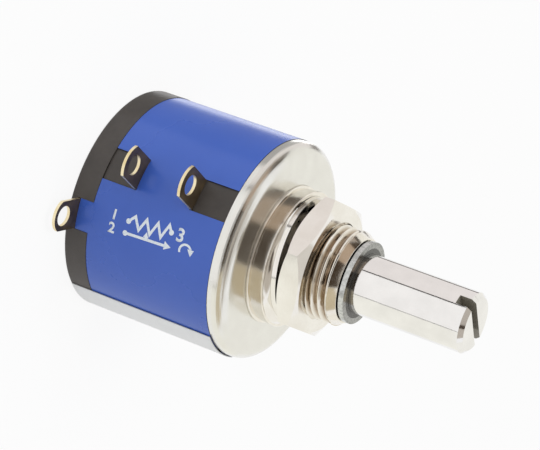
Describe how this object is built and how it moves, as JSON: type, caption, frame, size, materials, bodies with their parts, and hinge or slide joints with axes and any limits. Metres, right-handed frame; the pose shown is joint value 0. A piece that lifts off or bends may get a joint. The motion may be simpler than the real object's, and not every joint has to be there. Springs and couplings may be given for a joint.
{
  "type": "multi-turn rotary potentiometer",
  "caption": "Panel-mount wirewound potentiometer with a blue wrap label, threaded bushing, nut, slotted shaft and side solder lugs.",
  "frame": {"origin": "centre of the rear face, on the shaft's axis", "axes": "+Z along the shaft to its slotted tip; +X through terminals 1 and 3; +Y completes a right-handed frame"},
  "size_m": [0.0262, 0.0223, 0.0388],
  "materials": {
    "black_moulding": "moulded black phenolic, faint grain",
    "blue_label": "printed polyester film, semi-gloss",
    "pale_label": "unprinted end of the label film",
    "plated_lid": "bright plated, turned",
    "plated_brass": "nickel plated over turned brass",
    "shaft_steel": "ground stainless steel",
    "ring_steel": "dull zinc plated",
    "lug_metal": "gold plated solder lug, tarnished faces",
    "resistance_wire": "resistance wire wound on an enamelled core",
    "contact_metal": "spring brass",
    "bearing_bronze": "sintered bronze",
    "rotor_moulding": "natural nylon moulding"
  },
  "bodies": {
    "housing": {"coil_housing": "black_moulding", "rear_lid": "black_moulding", "front_lid": "plated_lid", "label": "blue_label", "label_overlap": "pale_label", "bushing": "plated_brass", "lock_washer": "plated_brass", "mounting_nut": "plated_brass", "terminal_1": "lug_metal", "terminal_2": "lug_metal", "terminal_3": "lug_metal", "coil_tap_1": "contact_metal", "coil_tap_3": "contact_metal", "resistance_coil": "resistance_wire", "slip_brush": "contact_metal", "rear_bearing": "bearing_bronze", "thrust_washer": "bearing_bronze"},
    "rotor": {"shaft": "shaft_steel", "retaining_ring": "ring_steel", "rotor_core": "rotor_moulding", "contact_rail": "contact_metal", "slip_ring": "contact_metal"},
    "carriage": {"carriage": "rotor_moulding", "wiper_contact": "contact_metal", "rail_contact": "contact_metal"}
  },
  "joints": [
    {"name": "shaft_turn", "type": "hinge", "parent": "housing", "child": "rotor", "pos_m": [0, 0, 0.009], "axis": [0, 0, 1], "range_deg": [-1800, 1800]},
    {"name": "carriage_slide", "type": "slide", "parent": "rotor", "child": "carriage", "axis": [0, 0, 1], "range_m": [-0.0045, 0.0045]}
  ],
  "couplings": [
    {"joint": "carriage_slide", "follows": "shaft_turn", "m_per_rad": -0.00014323}
  ]
}
